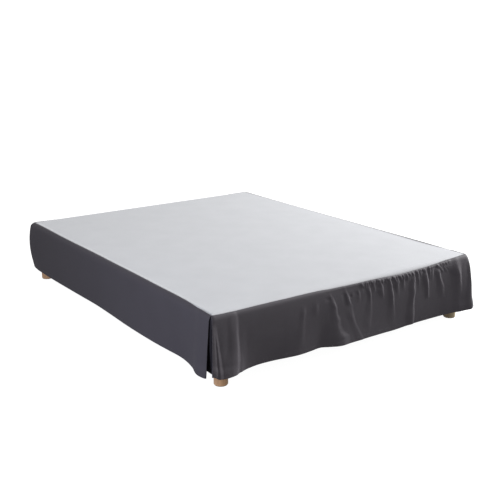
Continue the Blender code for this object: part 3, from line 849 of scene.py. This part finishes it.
def stitch_row(name, point, last):
    """Stitches along a drop, whose stitch line lies at point(station)."""
    bm = bmesh.new()
    spots = [point(s) for s in steps((STITCHES_START, last - STITCHES_START, STITCH_PITCH))]
    for spot, ahead in zip(spots, spots[1:]):
        turn = (ahead - spot).to_track_quat("X", "Z").to_matrix().to_4x4()
        place = Matrix.Translation((spot + ahead) / 2) @ turn @ Matrix.Diagonal((*STITCH, 1.0))
        bmesh.ops.create_uvsphere(bm, u_segments=6, v_segments=4, radius=1.0, matrix=place)
    return finished(new_piece(name, mesh_of(bm), sewing_thread))


def foot_stitch(station):
    right = station >= SIDE_X
    along = 2 * SIDE_X - station if right else station
    return foot_point((along, along, pi, 0.0, right), (STITCH_LINE, OUTSIDE))


foot_stitches = stitch_row("foot_hem_stitches", foot_stitch, 2 * SIDE_X)
for name, place, table, folds in SIDES:
    stitch_row(
        f"{name}_hem_stitches",
        lambda s: drop_point((s, s, pi, 0.0), (STITCH_LINE, OUTSIDE), place, table, SIDE_FOLD, folds),
        SIDE_END,
    )

# %% [markdown]
# ## What the cloths were cut to
#
# A drop's cut is as wide as its front, its returns and its folded-back ends, and as long as the drop and its
# hem.
# The loop below goes over the side drops and does nothing with them.

# %% Sheets
for name, side_drop in side_drops.items():
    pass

# %% [markdown]
# ## The bed base
#
# The base is a timber frame with slats, padded and covered. At the open head end it shows a fabric side band
# between two piped seams, and from below a black dust cover. The body could be sculpted as a soft cushion, but
# the real one is tight over its frame, so it is a block whose upright edges and rims are bevelled.

# %% The padded body of the base
CORNER, TOP_ROUND, BOTTOM_ROUND = 0.040, 0.028, 0.006


def round_off(bm, edges, radius, segments):
    bmesh.ops.bevel(bm, geom=edges, offset=radius, segments=segments, profile=0.5, affect="EDGES", material=-1)


def round_rim(bm, height, radius, segments):
    """Rounds off the edges that lie level at this height."""
    round_off(bm, [e for e in bm.edges if all(abs(v.co.z - height) < 1e-5 for v in e.verts)], radius, segments)


bm = bmesh.new()
size = base_high - base_low
bmesh.ops.create_cube(bm, size=1.0, matrix=Matrix.Translation((base_low + base_high) / 2)
                      @ Matrix.Diagonal((*size, 1.0)))
round_off(bm, [e for e in bm.edges if abs(e.verts[0].co.z - e.verts[1].co.z) > size.z / 2], CORNER, 12)
round_rim(bm, base_high.z, TOP_ROUND, 8)
round_rim(bm, base_low.z, BOTTOM_ROUND, 3)
uv = bm.loops.layers.uv.new("cloth")
for face in bm.faces:
    upright = abs(face.normal.z) < 0.7
    for loop in face.loops:
        place = loop.vert.co
        across = place.x if abs(face.normal.y) > abs(face.normal.x) else place.y
        loop[uv].uv = (across, place.z) if upright else (place.x, place.y)
grey_ticking = woven("grey_linen_ticking", "#8f8f92", "#b3b3b5", 2.4, 0.05, 0.2, 0.8)
base = finished(new_piece("upholstered_base", mesh_of(bm), grey_ticking))
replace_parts(base, "bed_base")

# %% [markdown]
# ## Piping and dust cover
#
# Piping is a cord wrapped in the cover's own cloth and sewn into a seam. A Bezier circle could carry it, but a
# closed poly curve through the rounded corners is easier to size. The dust cover is a flat, tight sheet.

# %% Piping
PIPING = 0.0025  # radius
PIPING_PROUD = 0.0012  # how far it stands out of the base's sides
PIPING_CLEAR = 0.004  # between it and the rounding of the base


def piping_line(height, count=10):
    """Points round the base, just inside its sides."""
    radius = CORNER - PIPING + PIPING_PROUD
    points = []
    for quarter in range(4):
        corner_x = (1, -1, -1, 1)[quarter] * (base_high.x - CORNER)
        corner_y = (1, 1, -1, -1)[quarter] * (base_high.y - CORNER)
        for index in range(count + 1):
            angle = (quarter + index / count) * pi / 2
            points.append((corner_x + radius * cos(angle), corner_y + radius * sin(angle), height))
    return points


curve = bpy.data.curves.new("piping", "CURVE")
curve.dimensions = "3D"
curve.bevel_depth = PIPING
curve.bevel_resolution = 3
for height in (base_high.z - TOP_ROUND - PIPING_CLEAR, base_low.z + BOTTOM_ROUND + PIPING_CLEAR):
    points = piping_line(height)
    spline = curve.splines.new("POLY")
    spline.points.add(len(points) - 1)
    for point, place in zip(spline.points, points):
        point.co = (*place, 1.0)
    spline.use_cyclic_u = True
source = new_object("piping_source", curve)
shape = applied(source)
bpy.data.objects.remove(source)
shape.uv_layers.new(name="cloth")
finished(new_piece("base_piping", shape, grey_ticking))

# %% Dust cover
DUST = 0.0005  # its thickness
DUST_INSET = 0.030  # from the base's sides
nonwoven = speckled("black_spunbond_nonwoven", "#1b1b1d", "#2c2c2e", "TexVoronoi", {"Scale": 500.0},
                    {"Roughness": 0.7})
bm = bmesh.new()
bmesh.ops.create_grid(bm, x_segments=24, y_segments=30, size=1.0)
for vert in bm.verts:
    across, along = (vert.co[axis] * (base_high[axis] - DUST_INSET) for axis in (0, 1))
    vert.co = (across, along, base_low.z - 0.0002)
bmesh.ops.reverse_faces(bm, faces=bm.faces)
dust_cover = thickened(new_piece("dust_cover", mesh_of(bm), nonwoven), -DUST)

# %% [markdown]
# ## The legs
#
# Five short beech legs carry the base, one near each corner and one in the middle. Each is turned from one
# piece, with eased edges and a felt pad under it, and a bevelled cylinder gives just that. The grain runs up
# the leg. The legs on the left are redder and the others greyer. Across each corner leg the colour is painted
# light on its outer side and dark on the side towards the bed's middle: painted light and shade.

# %% Beech
beech, tree, shader = new_finish("oiled_beech")
here = add(tree, "TexCoord").outputs["Object"]
log = add(tree, "Mapping", {"Location": (0.31, 0.17, 0.0), "Scale": (1.0, 1.0, 0.06)}, {"Vector": here})
wander = add(tree, "TexNoise", {"Scale": 14.0, "Detail": 3.0}, {"Vector": log})
bent = add(tree, "VectorMath", {"operation": "SCALE", "Scale": 0.010}, {0: wander.outputs["Color"]})
grown = add(tree, "VectorMath", {"operation": "ADD"}, {0: log, 1: bent})
rings = add(tree, "TexWave",
            {"wave_type": "RINGS", "rings_direction": "Z", "Scale": 60.0, "Distortion": 1.5, "Detail": 2.0},
            {"Vector": grown})
flecks = add(tree, "TexNoise", {"Scale": 420.0, "Detail": 2.0}, {"Vector": log})
fleck = add(tree, "MapRange", {"From Min": 0.60, "From Max": 0.72, "To Max": 0.5}, {"Value": flecks})
# Colour across the legs by their x: painted light on each corner leg's outer side and painted shade on its
# inner side, over a redder wood tone on the left and a greyer one on the right.
stand = add(tree, "SeparateXYZ", {}, {0: here})
across = add(tree, "MapRange", {"From Min": -0.8, "From Max": 0.8}, {"Value": stand.outputs["X"]})
tone_and_painted_shade = add(tree, "ValToRGB", {}, {0: across})
tones = tone_and_painted_shade.color_ramp.elements
tones.remove(tones[-1])
for x, code in ((-0.735, "#c79d77"), (-0.692, "#8d6c4f"), (0.72, "#9c8a6d"), (0.775, "#b5a688")):
    tones.new((x + 0.8) / 1.6).color = linear(code)
tones.remove(tones[0])
growth = add(tree, "MapRange", {"To Min": 0.90, "To Max": 1.08}, {"Value": rings.outputs["Fac"]})
wood = add(tree, "HueSaturation", {}, {"Color": tone_and_painted_shade, "Value": growth})
flecked = add(tree, "Mix", {"data_type": "RGBA", "B": linear("#7c5a40")}, {"Factor": fleck, "A": wood})
grain = add(tree, "Bump", {"Strength": 0.2, "Distance": 0.0002}, {"Height": flecks})
wire(shader, {"Roughness": 0.45}, {"Base Color": flecked, "Normal": grain})

# %% Legs and felt pads
PAD = 0.002  # its thickness
PAD_INSET = 0.003  # from the side of the leg
felt = speckled("pressed_wool_felt", "#3a322c", "#5b5048", "TexNoise", {"Scale": 700.0, "Detail": 4.0},
                {"Roughness": 0.95})


def cylinder(bm, segments, radius, low, high):
    """An upright cylinder between two points of its axis."""
    bmesh.ops.create_cone(bm, cap_ends=True, segments=segments, radius1=radius, radius2=radius,
                          depth=high.z - low.z, matrix=Matrix.Translation((low + high) / 2))


pads = bmesh.new()
for node in [name for name in sorted(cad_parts) if name.startswith("leg_")]:
    low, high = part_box(node)
    middle, radius = (low + high) / 2, (high.x - low.x) / 2
    sole, top = Vector((middle.x, middle.y, low.z + PAD)), Vector((middle.x, middle.y, high.z))
    leg = bmesh.new()
    cylinder(leg, 64, radius, sole, top)
    round_rim(leg, sole.z, 0.003, 4)
    round_rim(leg, top.z, 0.0015, 2)
    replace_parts(finished(new_piece(f"beech_{node}", mesh_of(leg), beech)), node)
    cylinder(pads, 40, radius - PAD_INSET, Vector((middle.x, middle.y, 0.0)), Vector((middle.x, middle.y, PAD)))
finished(new_piece("felt_pads", mesh_of(pads), felt))

# %% [markdown]
# ## Floor and light
#
# The bed stands in a white round studio whose floor curves up into its wall. Floor and wall glow by themselves
# like a light table, so that next to no shadow is left round the bed. Under the bed the glow is turned down to
# almost nothing, which is a painted shadow. The studio grows in rings from a filled circle, as the platform
# cloth did.

# %% The studio
# The floor's painted shadow under the bed: its half size and the width of its soft edge.
PAINTED_SHADOW_X, PAINTED_SHADOW_Y, SHADOW_EDGE = 0.58, 0.82, 0.20  # the dark part of the floor and the width of its soft edge
WALL = ((9.2, 0.12), (10.2, 0.50), (10.9, 1.15), (11.3, 2.0), (11.6, 3.2), (11.8, 5.0))  # radius and height
bm = bmesh.new()
ring = bmesh.ops.create_circle(bm, cap_ends=True, segments=96, radius=8.0)["verts"]
edges = list(bm.edges)
for radius, height in WALL:
    ring, edges = next_ring(bm, ring, edges)
    for vert in ring:
        vert.co = (*(Vector((vert.co.x, vert.co.y)).normalized() * radius), height)

glow, tree, shader = new_finish("white_light_table")
here = add(tree, "TexCoord").outputs["Object"]
away = add(tree, "VectorMath", {"operation": "ABSOLUTE"}, {0: here})
beyond = add(tree, "VectorMath", {"operation": "SUBTRACT", 1: (PAINTED_SHADOW_X - SHADOW_EDGE, PAINTED_SHADOW_Y - SHADOW_EDGE, 0.0)}, {0: away})
outside = add(tree, "VectorMath", {"operation": "MAXIMUM", 1: (0.0, 0.0, 0.0)}, {0: beyond})
reach = add(tree, "VectorMath", {"operation": "LENGTH"}, {0: outside})
# Emission strength: full round the bed, almost none under it, a painted shadow.
glow_with_painted_shadow = add(tree, "MapRange", {"interpolation_type": "SMOOTHSTEP", "From Max": SHADOW_EDGE,
                             "To Min": 0.02, "To Max": 0.97}, {"Value": reach})
wire(shader, {"Emission Color": WHITE, "Base Color": (0.2, 0.2, 0.2, 1.0), "Roughness": 0.9,
              "Specular IOR Level": 0.0}, {"Emission Strength": glow_with_painted_shadow})
studio = new_object("studio", mesh_of(bm))
studio.data.materials.append(glow)
studio.data.shade_smooth()
for rays in ("diffuse", "glossy", "shadow"):  # the studio shows, but only the sky and the lamps light the bed
    setattr(studio, f"visible_{rays}", False)
studio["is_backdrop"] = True

# %% [markdown]
# One soft light stands low at the right, almost in line with the foot drop, and rakes along it: this draws a
# bright line down every crest and leaves the cloth between them dark. A weaker, slightly cool light beside the
# left corner lights the left drop, most strongly near its foot end. The sky gives the rest, and it is darker
# towards the left and from below.

# %% The sky
SKY_LOW, SKY_HIGH = 0.30, 0.85  # strengths of the light from below and from above
SKY_LEFT = 0.45  # share of it that comes from the left
bpy.context.scene.view_settings.view_transform = "Standard"
world = bpy.data.worlds.new("studio")
world.use_nodes = True
bpy.context.scene.world = world
tree = world.node_tree
direction = add(tree, "SeparateXYZ", {}, {0: add(tree, "TexCoord").outputs["Generated"]})
upward = add(tree, "MapRange", {"From Min": -0.6, "From Max": 0.15, "To Min": SKY_LOW, "To Max": SKY_HIGH},
             {"Value": direction.outputs["Z"]})
sideways = add(tree, "MapRange", {"From Min": -0.9, "From Max": 0.2, "To Min": SKY_LEFT, "To Max": 1.0},
               {"Value": direction.outputs["X"]})
both = add(tree, "Math", {"operation": "MULTIPLY"}, {0: upward, 1: sideways})
wire(tree.nodes["Background"], {"Color": WHITE}, {"Strength": both})


# %% The lights
def softbox(name, place, aim, size, watts, colour="#ffffff"):
    light = bpy.data.lights.new(name, "AREA")
    light.shape = "RECTANGLE"
    light.size, light.size_y = size
    light.energy = watts
    light.color = linear(colour)[:3]
    lamp = new_object(name, light)
    lamp.location = place
    lamp.rotation_euler = (Vector(aim) - Vector(place)).to_track_quat("-Z", "Y").to_euler()
    lamp.visible_camera = False
    print(f"{name}: {(Vector(aim) - Vector(place)).length:.1f} m from what it lights")


softbox("raking_light", (6.2, -1.42, 2.9), (0.3, -0.9, 0.2), (1.2, 1.2), 850)
softbox("left_light", (-2.7, -0.85, 0.6), (-0.8, -0.8, 0.2), (0.5, 0.9), 28.5, "#e2eaff")

low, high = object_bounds()
print("The visual model's box, in metres:", [round(value, 4) for value in (*low, *high)])
